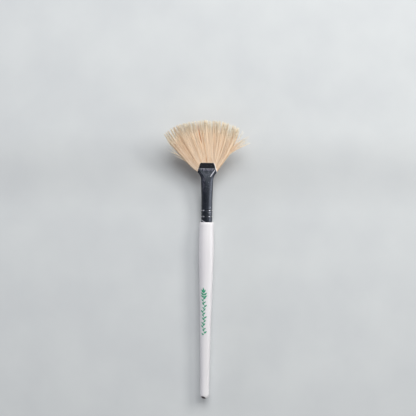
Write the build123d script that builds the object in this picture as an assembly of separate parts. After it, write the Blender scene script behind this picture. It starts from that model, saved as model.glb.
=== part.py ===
from build123d import *
import math
import os

# Fan mask brush: a turned, lacquered wooden handle, a crimped aluminium
# ferrule flattened to a trapezoid mouth, and a splayed fan of hog bristle.
# Millimetres.  The brush stands on its butt end: the origin is the centre of
# the small flat on the end of the handle, +Z runs up the handle to the
# bristle tips, the fan lies in the XZ plane, and the front faces -Y.

OVERALL = 177.8          # butt end to the tallest bristle tips
FIT = 0.02               # hairline between pieces set against each other

# ---------------------------------------------------------------- handle sizes
BUTT_FLAT_R = 1.30       # little parting-off flat on the end
SHANK_R = 2.88           # truly cylindrical stretch that a brush stand grips
SHANK_FROM = 3.2
SHANK_TO = 13.6
SHANK_TAPER = 0.02       # change of wood radius at each end of the shank
SHOULDER_Z = 112.8       # top of the handle, where the ferrule butts
SHOULDER_R = 4.34
SHOULDER_ROUND = 0.35
LACQUER_T = 0.12         # thickness of the dipped coat
# lacquered outline above the shank: height, radius
HANDLE_CURVE = [
    (17.0, 2.96), (22.0, 3.05), (27.2, 3.13), (32.0, 3.22), (36.8, 3.33),
    (41.6, 3.43), (46.4, 3.52), (52.2, 3.66), (57.9, 3.79), (63.7, 3.94),
    (69.4, 4.11), (75.2, 4.27), (81.0, 4.47), (86.7, 4.64), (92.5, 4.74),
    (97.0, 4.77), (101.0, 4.74), (105.0, 4.65), (108.8, 4.53),
    (SHOULDER_Z - SHOULDER_ROUND, SHOULDER_R),
]

# ---------------------------------------------------------------- ferrule sizes
TUBE_R = 3.52
WALL = 0.35
CRIMP_Z = (116.5, 120.4)  # two rolled crimp rings
CRIMP_DEPTH = 0.30
CRIMP_HALF = 0.55        # half height of a crimp
CRIMP_REACH = TUBE_R + 1.0  # outer radius of the cutting ring
PLAIN_TO = 126.0         # straight tube below this height
MOUTH_Z = 150.7          # straight top edge of the lips
MOUTH_X = 4.35
# how the tube opens into the mouth: height, half width, half thickness, fullness
SECTIONS = [
    (PLAIN_TO, TUBE_R, TUBE_R, 2.0),
    (129.0, 3.58, 3.50, 2.0), (133.4, 3.74, 3.34, 2.05), (137.5, 3.88, 3.00, 2.15),
    (140.4, 4.04, 2.58, 2.30), (142.2, 4.48, 2.22, 2.50), (143.6, 5.28, 1.90, 2.70),
    (144.8, 6.20, 1.62, 2.90), (146.2, 6.95, 1.42, 3.00), (148.6, 7.70, 1.35, 3.10),
    (151.4, 8.30, 1.35, 3.10),
]
# heights of the loft sections above the straight tube
LOFT_Z = [
    127.6, 129.4, 131.2, 133.0, 134.8, 136.4, 137.8, 139.0, 140.0, 140.8, 141.5,
    142.1, 142.7, 143.3, 143.9, 144.5, 145.1, 145.8, 146.7, 147.8, 149.2, 151.4,
]
SECTION_POINTS = 20
# right half of the outline the ferrule is trimmed to, from below up: x, z
TRIM_RIGHT = [
    (9, SHOULDER_Z - 1), (9, 143.8),
    (6.48, 143.8), (5.55, 146.9),  # corner, then break in the slanting edge
    (MOUTH_X + 0.32, MOUTH_Z - 0.75), (MOUTH_X, MOUTH_Z - 0.18), (MOUTH_X - 0.35, MOUTH_Z),
]

# ---------------------------------------------------------------- tenon and glue sizes
GLUE_T = 0.07
TENON_R = TUBE_R - WALL - GLUE_T - FIT
TENON_TOP = 126.4
NOSE = 0.4               # height and radial depth of the tenon's chamfer

# ---------------------------------------------------------------- knot, thread, resin sizes
RESIN_FROM = 129.2
KNOT_FROM = 130.6
KNOT_R = 2.25
NECK_Z = 138.6           # the roots fill the whole mouth above this height
ROOT_HALF_X = 5.3
THREAD_R = 0.17
THREAD_FROM = 132.4
THREAD_TURNS = 7
THREAD_PITCH = 1.8 * THREAD_R

# ---------------------------------------------------------------- fan sizes
# the free bristles bend about a line just above the mouth
HINGE_Z = 152.6
HINGE_R = 1.15           # half thickness of the fan at the bend
HINGE_GAP = 0.12
FAN_HALF_Y = 1.65        # half thickness of the fan at mid length
TIP_HALF_Y = 1.25
LOCKS = 14
LOCK_GAP = 0.04
TUFT_GAP = 0.03          # between the last lock and the stray tuft
TUFT_FOOT_X = 0.62       # from the fan's edge to the far side of the tuft's foot

# flat sheaf of roots leaving the lips, up the left and down the right: x, z
SHEAF_OUTLINE = [
    (-ROOT_HALF_X, 145.6), (-6.45, 146.00), (-9.40, 146.95), (-11.80, 149.00),
    (-13.40, 150.80), (-14.95, HINGE_Z),
    (10.90, HINGE_Z), (9.80, 151.10), (8.80, 149.60), (7.50, 147.40),
    (6.45, 146.00), (ROOT_HALF_X, 145.6),
]
# back-to-front thickness of the sheaf, one side from below up: y, z
SHEAF_SIDE = [
    (-0.93, 145.5), (-0.93, MOUTH_Z), (-HINGE_R, HINGE_Z - 0.5), (-HINGE_R, HINGE_Z + 1),
]
# the same for the free fan
FAN_SIDE = [
    (HINGE_R, HINGE_Z), (HINGE_R + 0.12, HINGE_Z + 1.6), (FAN_HALF_Y, HINGE_Z + 9.0),
    (FAN_HALF_Y, HINGE_Z + 13.0), (TIP_HALF_Y, OVERALL - 2.5), (TIP_HALF_Y - 0.45, OVERALL),
]
# tips of the fan from left to right: x, z
RIM = [
    (-28.0, 168.7), (-26.4, 170.0), (-24.2, 171.6), (-20.6, 174.0), (-16.5, 175.2),
    (-12.6, 176.3), (-8.2, 177.1), (-3.2, OVERALL), (2.0, OVERALL), (6.4, 177.5),
    (11.0, 176.4), (15.2, 174.9), (18.6, 173.6), (19.9, 171.4),
]
# side edges of the fan from the bend up: x, z
LEFT = [(-14.95, HINGE_Z), (-18.6, 157.6), (-23.2, 163.0), RIM[0]]
RIGHT = [(10.75, HINGE_Z), (14.1, 158.0), (17.6, 164.4), RIM[-1]]
# free end of the stray tuft, out along the top and back below: x, z
TUFT_END = [(15.9, 160.6), (25.0, 167.2), (27.6, 164.6), (27.3, 163.2), (19.0, 160.0),
            (14.6, 157.1)]


# ---------------------------------------------------------------- shared shapes
def polygon(points):
    """Face inside straight lines through 3D points."""
    following = points[1:] + points[:1]
    return make_face(Wire([Line(start, end) for start, end in zip(points, following)]))


def slab_y(points, half):
    """XZ outline given as (x, z) corners, extruded to +-half in Y."""
    return extrude(polygon([(x, 0, z) for x, z in points]), half, dir=(0, 1, 0), both=True)


def slab_x(points, half):
    """YZ outline given as (y, z) corners, extruded to +-half in X."""
    return extrude(polygon([(0, y, z) for y, z in points]), half, dir=(1, 0, 0), both=True)


def mirrored(points):
    """Outline closed by its own mirror image across the Z axis."""
    return points + [(-across, z) for across, z in reversed(points)]


def rod(radius, bottom, top):
    return Pos(0, 0, (bottom + top) / 2) * Cylinder(radius, top - bottom)


def bend_bar(radius, length, x=0):
    """Bar along X on the line the bristles bend about."""
    return Pos(x, 0, HINGE_Z) * Rot(0, 90, 0) * Cylinder(radius, length)


def crimp_ring(radius, height):
    """Ring that presses a smooth dip of CRIMP_DEPTH into a radius at a height."""
    edge_r = radius + 0.05
    low = height - CRIMP_HALF - 0.06
    high = height + CRIMP_HALF + 0.06
    corners = [(edge_r, 0, high), (CRIMP_REACH, 0, high), (CRIMP_REACH, 0, low), (edge_r, 0, low)]
    dip = Spline(corners[-1], (radius - CRIMP_DEPTH, 0, height), corners[0],
                 tangents=((-0.5, 0, 1), (0.5, 0, 1)))
    sides = [Line(start, end) for start, end in zip(corners, corners[1:])]
    return revolve(make_face(Wire([dip] + sides)), Axis.Z, 360)


def crimped(form, radius):
    """Form with both crimp dips pressed into its given radius."""
    for height in CRIMP_Z:
        form = form - crimp_ring(radius, height)
    return form


def crimped_rod(radius, bottom, top):
    return crimped(rod(radius, bottom, top), radius)


# ---------------------------------------------------------------- handle
def turned_form(inset):
    """Solid turned body, its outline pulled in by inset."""
    shank_r = SHANK_R - inset
    # the coat gathers a little towards the butt, so the wood under it tapers
    taper = SHANK_TAPER if inset else 0.0
    top_z = SHOULDER_Z - inset
    axis_low = (0, 0, inset)
    flat_edge = (BUTT_FLAT_R - 0.4 * inset, 0, inset)
    shank_low = (shank_r - taper, 0, SHANK_FROM)
    shank_high = (shank_r + taper, 0, SHANK_TO)
    curve = [shank_high] + [(r - inset, 0, z) for z, r in HANDLE_CURVE]
    shoulder_edge = (SHOULDER_R - SHOULDER_ROUND - 0.4 * inset, 0, top_z)
    axis_high = (0, 0, top_z)
    brow_tangent = (-0.34, 0, 1)
    butt = Spline(flat_edge,
                  (shank_r * 0.80, 0, 0.62 + 0.8 * inset),
                  (shank_r * 0.955, 0, 1.55 + 0.4 * inset),
                  shank_low, tangents=((1, 0, 0.12), (0, 0, 1)))
    belly = Spline(*curve, tangents=((0, 0, 1), brow_tangent))
    brow = Spline(curve[-1], shoulder_edge, tangents=(brow_tangent, (-1, 0, 0)))
    profile = Wire([Line(axis_low, flat_edge), butt, Line(shank_low, shank_high), belly, brow,
                    Line(shoulder_edge, axis_high), Line(axis_high, axis_low)])
    return revolve(make_face(profile), Axis.Z, 360)


def handle():
    """Turned wood with the crimped tenon that enters the ferrule."""
    tenon = crimped_rod(TENON_R, SHOULDER_Z - 2.0, TENON_TOP - NOSE)
    nose = Pos(0, 0, TENON_TOP - NOSE / 2) * Cone(TENON_R, TENON_R - NOSE, NOSE)
    wood = turned_form(LACQUER_T) + tenon + nose
    # bare wood through the thickness of the coat at the tenon's foot
    return wood + rod(TENON_R, SHOULDER_Z - LACQUER_T, SHOULDER_Z)


def lacquer():
    """Coat over the turned body and the shoulder, stopping at the glue line."""
    coat = turned_form(0.0) - turned_form(LACQUER_T)
    return coat - rod(TENON_R + GLUE_T, SHOULDER_Z - 2.0, SHOULDER_Z + 2.0)


def tenon_glue():
    """Sleeve of glue round the tenon."""
    outer = crimped_rod(TENON_R + GLUE_T, SHOULDER_Z, TENON_TOP - 0.6)
    return outer - crimped_rod(TENON_R, SHOULDER_Z - 1, TENON_TOP)


# ---------------------------------------------------------------- ferrule
def section_face(z, half_x, half_y, fullness):
    """Superellipse section of the mouth at height z."""
    points = []
    for i in range(SECTION_POINTS):
        angle = 2 * math.pi * i / SECTION_POINTS
        c, s = math.cos(angle), math.sin(angle)
        x = half_x * math.copysign(abs(c) ** (2 / fullness), c)
        y = half_y * math.copysign(abs(s) ** (2 / fullness), s)
        points.append((x, y, z))
    return make_face(Wire([Spline(*points, periodic=True)]))


def knot_slope(k, steps, grades):
    """Slope at table row k that keeps the cubic monotone."""
    if k == 0:
        return grades[0]
    if k == len(grades):
        return grades[-1]
    below, above = grades[k - 1], grades[k]
    if below * above <= 0:
        return 0.0
    weight_below = 2 * steps[k] + steps[k - 1]
    weight_above = steps[k] + 2 * steps[k - 1]
    return (weight_below + weight_above) / (weight_below / below + weight_above / above)


def smooth(rows, z):
    """Monotone cubic through rows of (z, values...), so the wall never ripples."""
    heights, *columns = zip(*rows)
    spans = range(len(rows) - 1)
    steps = [heights[k + 1] - heights[k] for k in spans]
    i = max(k for k in spans if heights[k] <= z + 1e-9)
    t = (z - heights[i]) / steps[i]
    values = []
    for column in columns:
        grades = [(column[k + 1] - column[k]) / steps[k] for k in spans]
        start_slope = knot_slope(i, steps, grades) * steps[i]
        end_slope = knot_slope(i + 1, steps, grades) * steps[i]
        values.append(column[i] * (2 * t**3 - 3 * t**2 + 1)
                      + start_slope * (t**3 - 2 * t**2 + t)
                      + column[i + 1] * (3 * t**2 - 2 * t**3)
                      + end_slope * (t**3 - t**2))
    return values


def tube_form(shrink):
    """The whole tube with its flattened mouth, solid, pulled in by shrink all round."""
    radius = TUBE_R - shrink
    sections = [Pos(0, 0, PLAIN_TO) * Circle(radius)]
    for z in LOFT_Z:
        half_x, half_y, fullness = smooth(SECTIONS, z)
        sections.append(section_face(z, half_x - shrink, half_y - shrink, fullness))
    tube = rod(radius, SHOULDER_Z, PLAIN_TO)
    return tube + loft([section.face() for section in sections], ruled=True)


def ferrule():
    """Crimped tube, trimmed to the slanting sides and straight lips of the mouth."""
    outside = crimped(tube_form(0.0), TUBE_R)
    void = crimped(tube_form(WALL), TUBE_R - WALL)
    return (outside - void) & slab_y(mirrored(TRIM_RIGHT), 5)


# ---------------------------------------------------------------- bristle knot
def bristle_knot(filling):
    """Tied roots: round where bound, then filling the mouth and splaying out of it."""
    bound = rod(KNOT_R, KNOT_FROM, NECK_Z + 0.5)
    root_outline = [(-ROOT_HALF_X, NECK_Z)] + SHEAF_OUTLINE + [(ROOT_HALF_X, NECK_Z)]
    inside = filling & slab_y(root_outline, 3)
    # the ferrule's outline with a hairline added at its sides and top edge
    clearance = [(x + math.copysign(FIT, x), z + (FIT if z > MOUTH_Z - 0.5 else 0))
                 for x, z in mirrored(TRIM_RIGHT)]
    sheaf = slab_y(SHEAF_OUTLINE, 3) & slab_x(mirrored(SHEAF_SIDE), 40)
    sheaf = sheaf - slab_y(clearance, 5)
    return (bound + inside + sheaf) - bend_bar(HINGE_R + HINGE_GAP, 60, x=-2)


def knot_thread():
    """Close turns of thread round the tied roots."""
    turns = [Pos(0, 0, THREAD_FROM + i * THREAD_PITCH) * Torus(KNOT_R + THREAD_R + FIT, THREAD_R)
             for i in range(THREAD_TURNS)]
    return sum(turns[1:], turns[0])


def knot_resin(filling):
    """Setting resin that fills the tube round the tied roots, below the neck."""
    top = NECK_Z - FIT
    resin = filling & (Pos(0, 0, (RESIN_FROM + top) / 2) * Box(20, 20, top - RESIN_FROM))
    resin = resin - rod(KNOT_R + FIT, KNOT_FROM - FIT, NECK_Z + 1)
    thread_middle = THREAD_FROM + (THREAD_TURNS - 1) * THREAD_PITCH / 2
    thread_room = Cylinder(KNOT_R + 2 * THREAD_R + 2 * FIT, THREAD_TURNS * THREAD_PITCH + 0.1)
    return resin - Pos(0, 0, thread_middle) * thread_room


# ---------------------------------------------------------------- free bristles
def along(line, share):
    """Point at a share of the length of a polyline."""
    lengths = [math.dist(start, end) for start, end in zip(line, line[1:])]
    left_over = share * sum(lengths)
    for i, length in enumerate(lengths):
        if left_over <= length or i == len(lengths) - 1:
            f = left_over / length
            (x0, z0), (x1, z1) = line[i], line[i + 1]
            return (x0 + f * (x1 - x0), z0 + f * (z1 - z0))
        left_over -= length


def bow(line, v):
    """Sideways bulge of a fan edge at share v of its length."""
    return along(line, v)[0] - (line[0][0] + v * (line[-1][0] - line[0][0]))


def lock_edge(share):
    """Line between two locks, from below the bend to the rim, at a share across the fan."""
    base_x = LEFT[0][0] + share * (RIGHT[0][0] - LEFT[0][0])
    tip_x, tip_z = along(RIM, share)
    points = []
    for v in (0.0, 0.33, 0.66, 1.0):
        bulge = (1 - share) * bow(LEFT, v) + share * bow(RIGHT, v)
        points.append((base_x + v * (tip_x - base_x) + bulge, HINGE_Z + v * (tip_z - HINGE_Z)))
    # run the same way on down past the bend
    (x0, z0), (x1, z1) = points[:2]
    k = (HINGE_R + 0.4) / (z1 - z0)
    return [(x0 - k * (x1 - x0), z0 - k * (z1 - z0))] + points


def bristle_lock(i, fan_slab):
    """Lock i, counted from the left, between two neighbouring edges."""
    left = [(x + LOCK_GAP / 2, z) for x, z in lock_edge(i / LOCKS)]
    right = [(x - LOCK_GAP / 2, z) for x, z in lock_edge((i + 1) / LOCKS)]
    return slab_y(left + right[::-1], 4) & fan_slab


def stray_tuft(fan_slab):
    """Tuft on the right that has sprung away from the rest of the fan."""
    fan_edge = lock_edge(1.0)
    near_side = [(x + TUFT_GAP, z) for x, z in fan_edge[:3]]
    far_foot = [(x + TUFT_FOOT_X, z) for x, z in reversed(fan_edge[:2])]
    return slab_y(near_side + TUFT_END + far_foot, 4) & fan_slab


# ---------------------------------------------------------------- build
def save(shape, name):
    shape.label = name
    export_step(shape, f"parts/{name}.step")


os.makedirs("parts", exist_ok=True)
save(handle(), "handle")
save(lacquer(), "handle_lacquer")
save(ferrule(), "ferrule")
save(tenon_glue(), "tenon_glue")

# what fills the flattened mouth stands a hair clear of the metal
mouth_filling = tube_form(WALL + FIT)
save(bristle_knot(mouth_filling), "bristle_knot")
save(knot_thread(), "knot_thread")
save(knot_resin(mouth_filling), "knot_resin")

fan = slab_x(mirrored(FAN_SIDE), 45) + bend_bar(HINGE_R, 90)
for i in range(LOCKS):
    save(bristle_lock(i, fan), f"bristle_lock_{i + 1:02d}")
save(stray_tuft(fan), "bristle_tuft_stray")
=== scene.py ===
"""Fan brush: lacquered wooden handle, black pressed ferrule and a fan of hog bristle.

The brush stands on the Z axis with the butt of the handle at z = 0 and the bristles on top. The fan
spreads along X and is thin along Y; the front faces -Y. Meshes are in millimetres until new_mesh
scales them; shader positions, lights and the camera are in metres.
"""
import math
from functools import cached_property

import bpy
import numpy as np
from mathutils import Matrix, Vector


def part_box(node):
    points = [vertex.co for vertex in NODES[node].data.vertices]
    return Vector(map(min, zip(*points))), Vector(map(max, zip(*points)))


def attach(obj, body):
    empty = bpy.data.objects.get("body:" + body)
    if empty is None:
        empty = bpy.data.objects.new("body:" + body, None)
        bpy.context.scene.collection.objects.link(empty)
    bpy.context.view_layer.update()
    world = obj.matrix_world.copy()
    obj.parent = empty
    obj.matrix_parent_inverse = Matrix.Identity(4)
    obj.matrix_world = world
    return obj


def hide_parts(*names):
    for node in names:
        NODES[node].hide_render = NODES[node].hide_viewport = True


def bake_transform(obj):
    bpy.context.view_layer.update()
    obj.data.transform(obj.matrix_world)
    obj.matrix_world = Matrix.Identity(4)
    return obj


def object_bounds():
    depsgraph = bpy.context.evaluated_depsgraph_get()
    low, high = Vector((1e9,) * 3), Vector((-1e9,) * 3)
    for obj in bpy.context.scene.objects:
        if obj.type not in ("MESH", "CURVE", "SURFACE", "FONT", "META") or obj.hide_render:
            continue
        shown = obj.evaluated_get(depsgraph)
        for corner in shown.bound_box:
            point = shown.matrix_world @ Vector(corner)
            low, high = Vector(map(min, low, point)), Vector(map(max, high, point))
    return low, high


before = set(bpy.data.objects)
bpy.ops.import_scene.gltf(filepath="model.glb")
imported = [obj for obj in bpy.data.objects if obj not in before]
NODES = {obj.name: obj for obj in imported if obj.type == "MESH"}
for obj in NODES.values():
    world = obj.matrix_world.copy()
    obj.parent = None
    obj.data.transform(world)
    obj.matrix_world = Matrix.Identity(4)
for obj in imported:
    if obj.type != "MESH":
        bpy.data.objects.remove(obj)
CAD_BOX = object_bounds()
STILL, FREE = "brush_handle", "bristles"
MM = 0.001                                           # metres in a millimetre

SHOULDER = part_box("handle_lacquer")[1].z * 1000      # top of the lacquered handle
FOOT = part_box("ferrule")[0].z * 1000
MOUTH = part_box("ferrule")[1].z * 1000
TOP = CAD_BOX[1].z * 1000                            # tips of the longest bristles
rng = np.random.default_rng(713)
scene = bpy.context.scene


# ------------------------------------------------------------------ numbers and curves
def fade(value, start, end):
    """0 at start, 1 at end, straight between and held outside."""
    return np.clip((value - start) / (end - start), 0, 1)


def ease(share):
    return share * share * (3 - 2 * share)


def bell(value, centre, width):
    return np.exp(-((value - centre) / width) ** 2)


def pchip(rows, at):
    """Monotone cubic through rows of (position, value...), read at an array of positions."""
    rows = np.asarray(rows, float)
    knots, values = rows[:, 0], rows[:, 1:]
    gap = np.diff(knots)[:, None]
    slope = np.diff(values, axis=0) / gap
    tangent = np.zeros_like(values)
    tangent[0], tangent[-1] = slope[0], slope[-1]
    for k in range(1, len(knots) - 1):
        before, after = 2 * gap[k] + gap[k - 1], gap[k] + 2 * gap[k - 1]
        same = slope[k - 1] * slope[k] > 0
        blend = before / np.where(same, slope[k - 1], 1) + after / np.where(same, slope[k], 1)
        tangent[k] = np.where(same, (before + after) / blend, 0)
    at = np.clip(np.atleast_1d(at).astype(float), knots[0], knots[-1])
    i = np.clip(np.searchsorted(knots, at, side="right") - 1, 0, len(knots) - 2)
    t = ((at - knots[i]) / gap[i, 0])[:, None]
    return (values[i] * (2 * t**3 - 3 * t**2 + 1) + tangent[i] * gap[i] * (t**3 - 2 * t**2 + t)
            + values[i + 1] * (3 * t**2 - 2 * t**3) + tangent[i + 1] * gap[i] * (t**3 - t**2))


def smooth_path(points, count):
    """Even samples along a Catmull-Rom line through (x, z) points."""
    knots = np.asarray(points, float)
    knots = np.vstack([2 * knots[0] - knots[1], knots, 2 * knots[-1] - knots[-2]])
    line = []
    for i in range(1, len(knots) - 2):
        before, start, end, after = knots[i - 1:i + 3]
        for t in np.linspace(0, 1, 40, endpoint=False):
            line.append(0.5 * (2 * start + (end - before) * t
                               + (2 * before - 5 * start + 4 * end - after) * t * t
                               + (3 * start - before - 3 * end + after) * t**3))
    line.append(knots[-2])
    line = np.array(line)
    travelled = np.r_[0, np.cumsum(np.linalg.norm(np.diff(line, axis=0), axis=1))]
    wanted = np.linspace(0, travelled[-1], count)
    return np.column_stack([np.interp(wanted, travelled, line[:, k]) for k in range(2)])


def left_of(line):
    """Unit vectors pointing to the left of travel along an (x, z) line."""
    travel = np.gradient(line, axis=0)
    travel /= np.linalg.norm(travel, axis=1)[:, None]
    return np.column_stack([-travel[:, 1], travel[:, 0]])


# ------------------------------------------------------------------ meshes
def new_mesh(name, verts_mm, faces, material, uv=None):
    """Smooth object from vertices in millimetres; uv holds one (u, v) per face corner."""
    mesh = bpy.data.meshes.new(name)
    verts = (np.asarray(verts_mm, float) * MM).tolist()
    mesh.from_pydata(verts, [], [list(map(int, face)) for face in faces])
    if uv is not None:
        layer = mesh.uv_layers.new(name="OFBake")
        layer.data.foreach_set("uv", np.asarray(uv, np.float32).ravel())
    mesh.polygons.foreach_set("use_smooth", [True] * len(mesh.polygons))
    mesh.update()
    mesh.materials.append(material)
    ob = bpy.data.objects.new(name, mesh)
    scene.collection.objects.link(ob)
    return ob


def store(ob, name, values):
    """Keep one number per vertex for the shaders."""
    layer = ob.data.attributes.new(name, "FLOAT", "POINT")
    layer.data.foreach_set("value", np.asarray(values, np.float32).ravel())


def ring_faces(rows, cols):
    """Quads and their uv corners for stacked rings of vertices."""
    faces, uv = [], []
    for i in range(rows - 1):
        low, high = i / (rows - 1), (i + 1) / (rows - 1)
        for j in range(cols):
            k = (j + 1) % cols
            faces.append([i * cols + j, i * cols + k, (i + 1) * cols + k, (i + 1) * cols + j])
            uv += [(j / cols, low), ((j + 1) / cols, low), ((j + 1) / cols, high), (j / cols, high)]
    return faces, uv


def fix_still(ob, replaced):
    """Part that stays with the handle."""
    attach(ob, STILL)
    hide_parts(replaced)


def let_flex(ob, replaced):
    """Bristles held at the mouth: the mesh gets its placement baked in, and the CAD piece is hidden.
    """
    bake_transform(ob)
    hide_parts(replaced)


# ------------------------------------------------------------------ shader building
def srgb(*rgb):
    """Linear colour from 0-255 display values."""
    shares = [value / 255.0 for value in rgb]
    return tuple(c / 12.92 if c <= 0.04045 else ((c + 0.055) / 1.055) ** 2.4 for c in shares)


class Shader:
    """A new material, with one short call for each kind of node."""

    def __init__(self, name):
        self.material = bpy.data.materials.new(name)
        self.material.use_nodes = True
        self.tree = self.material.node_tree
        self.body = self.tree.nodes["Principled BSDF"]

    def feed(self, socket, value):
        """Link another node's output into a socket, or set its plain value."""
        if isinstance(value, bpy.types.NodeSocket):
            self.tree.links.new(value, socket)
        else:
            socket.default_value = (*value, 1) if socket.type == "RGBA" else value

    def add(self, kind, **values):
        made = self.tree.nodes.new("ShaderNode" + kind)
        for key, value in values.items():
            if key in made.inputs:
                self.feed(made.inputs[key], value)
            else:
                setattr(made, key, value)
        return made

    @cached_property
    def position(self):
        return self.add("TexCoord").outputs["Object"]

    def axes(self, vector):
        return self.add("SeparateXYZ", Vector=vector).outputs

    def attribute(self, name):
        return self.add("Attribute", attribute_name=name).outputs["Fac"]

    def noise(self, scale, detail, rough, stretch=None, vector=None):
        vector = vector or self.position
        if stretch:
            vector = self.add("Mapping", Scale=stretch, Vector=vector).outputs["Vector"]
        made = self.add("TexNoise", Scale=scale, Detail=detail, Roughness=rough, Vector=vector)
        return made.outputs["Fac"]

    def ramp(self, source, *stops):
        """Colour ramp through (position, colour) stops."""
        made = self.add("ValToRGB", Fac=source)
        elements = made.color_ramp.elements
        while len(elements) < len(stops):
            elements.new(0.5)
        for element, (position, colour) in zip(elements, stops):
            element.position = position
            element.color = (*colour, 1)
        return made.outputs["Color"]

    def span(self, source, to, over=(0.0, 1.0)):
        """Map the range `over` of the source onto the range `to`."""
        made = self.add("MapRange", Value=source)
        for key, value in zip(("From Min", "From Max", "To Min", "To Max"), (*over, *to)):
            made.inputs[key].default_value = value
        return made.outputs["Result"]

    def mix(self, factor, under, over, blend="MIX"):
        made = self.add("Mix", data_type="RGBA", blend_type=blend)
        for index, value in ((0, factor), (6, under), (7, over)):    # factor and the colour pair
            self.feed(made.inputs[index], value)
        return made.outputs[2]

    def maths(self, operation, *values, clamp=False):
        made = self.add("Math", operation=operation, use_clamp=clamp)
        for socket, value in zip(made.inputs, values):
            self.feed(socket, value)
        return made.outputs[0]

    def plus(self, *values):
        return self.maths("ADD", *values)

    def minus(self, *values):
        return self.maths("SUBTRACT", *values)

    def times(self, *values, clamp=False):
        return self.maths("MULTIPLY", *values, clamp=clamp)

    def surface(self, values):
        for key, value in values.items():
            self.feed(self.body.inputs[key], value)

    def bump(self, height, strength, distance):
        made = self.add("Bump", Strength=strength, Distance=distance, Height=height)
        self.feed(self.body.inputs["Normal"], made.outputs["Normal"])


# ------------------------------------------------------------------ materials
# where the coat is rubbed through at the front of the butt, a dark patch that is also painted shade
# under the rounded end, in metres
CHIP_X, CHIP_Z = -0.00066, 0.00074
CHIP_COS, CHIP_SIN = 0.899, 0.438       # its long axis runs down to the right
CHIP_LONG, CHIP_SHORT = 1.62, 0.84      # stretch along and across that axis


def chip_and_shade_mask(mat, x, y, z):
    """1 inside the ragged oval chip on the front, 0 outside; the chip is also painted shade under the
    rounded butt.
    """
    from_x = mat.plus(x, -CHIP_X)
    from_z = mat.minus(z, CHIP_Z)
    along = mat.minus(mat.times(from_x, CHIP_COS), mat.times(from_z, CHIP_SIN))
    across = mat.plus(mat.times(from_x, CHIP_SIN), mat.times(from_z, CHIP_COS))
    squares = [mat.maths("POWER", mat.maths("ABSOLUTE", mat.maths("DIVIDE", offset, stretch)), 2.0)
               for offset, stretch in ((along, CHIP_LONG), (across, CHIP_SHORT))]
    away = mat.maths("SQRT", mat.plus(*squares))
    ragged = mat.minus(mat.noise(scale=1300.0, detail=5.0, rough=0.65), 0.5)
    edge = mat.plus(away, mat.times(ragged, 0.0009))
    return mat.times(mat.span(edge, to=(1.0, 0.0), over=(0.00072, 0.00122)),
                     mat.span(y, to=(1.0, 0.0), over=(-0.0007, 0.0)))


def lacquer_material():
    mat = Shader("white_lacquer")
    x, y, z = mat.axes(mat.position)
    cloud = mat.noise(scale=45.0, detail=3.0, rough=0.55, stretch=(1, 1, 0.35))
    base = mat.ramp(cloud, (0.30, srgb(220, 217, 219)), (0.55, srgb(224, 222, 223)),
                    (0.80, srgb(227, 225, 222)))
    # faint grain of the wood along the handle
    grain = mat.noise(scale=900.0, detail=2.0, rough=0.6, stretch=(1, 1, 0.02))
    base = mat.mix(mat.span(grain, to=(0.0, 0.16), over=(0.45, 0.75)), base, srgb(204, 199, 198))
    # dust, and painted shade where the handle meets the ferrule, in a ring under the shoulder
    ring = mat.span(z, to=(0.0, 1.0), over=((SHOULDER - 0.9) * MM, (SHOULDER + 0.02) * MM))
    patches = mat.noise(scale=1500.0, detail=3.0, rough=0.6)
    dust_and_shade = mat.times(ring, mat.span(patches, to=(0.0, 0.55), over=(0.35, 0.70)))
    base = mat.mix(mat.times(dust_and_shade, 0.25), base, srgb(176, 168, 166))
    chip_and_shade = chip_and_shade_mask(mat, x, y, z)
    # dark grey of the rubbed-through coat, deepened as painted shade under the rounded end
    bare_and_shaded = mat.ramp(mat.noise(scale=2200.0, detail=3.0, rough=0.6),
                    (0.3, srgb(66, 58, 60)), (0.7, srgb(112, 102, 104)))
    gloss = mat.span(mat.noise(scale=220.0, detail=4.0, rough=0.6), to=(0.26, 0.42))
    mat.surface({"Base Color": mat.mix(chip_and_shade, base, bare_and_shaded),
                 "Roughness": mat.plus(gloss, mat.times(chip_and_shade, 0.4)),
                 "Specular IOR Level": 0.13})
    # slow waves in the coat, sunk at the chip
    wave = mat.noise(scale=300.0, detail=2.0, rough=0.4, stretch=(1, 1, 0.30))
    mat.bump(mat.plus(wave, mat.times(chip_and_shade, -2.0)), strength=0.05, distance=0.00010)
    return mat.material


def scratch_mask(mat, x, y, z):
    """Diagonal scratch at the front left of the ferrule's foot."""
    line = mat.plus(mat.times(x, 0.60), z)
    distance = mat.maths("ABSOLUTE", mat.minus(line, (FOOT - 0.66) * MM))
    near = mat.span(distance, to=(1.0, 0.0), over=(0.00018, 0.00034))
    inside = mat.times(mat.span(x, to=(1.0, 0.0), over=(-0.0010, -0.0007)),
                       mat.span(y, to=(1.0, 0.0), over=(-0.0004, 0.0)))
    below = mat.span(z, to=(1.0, 0.0), over=((FOOT + 1.9) * MM, (FOOT + 2.2) * MM))
    return mat.times(mat.times(near, inside), below)


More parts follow.
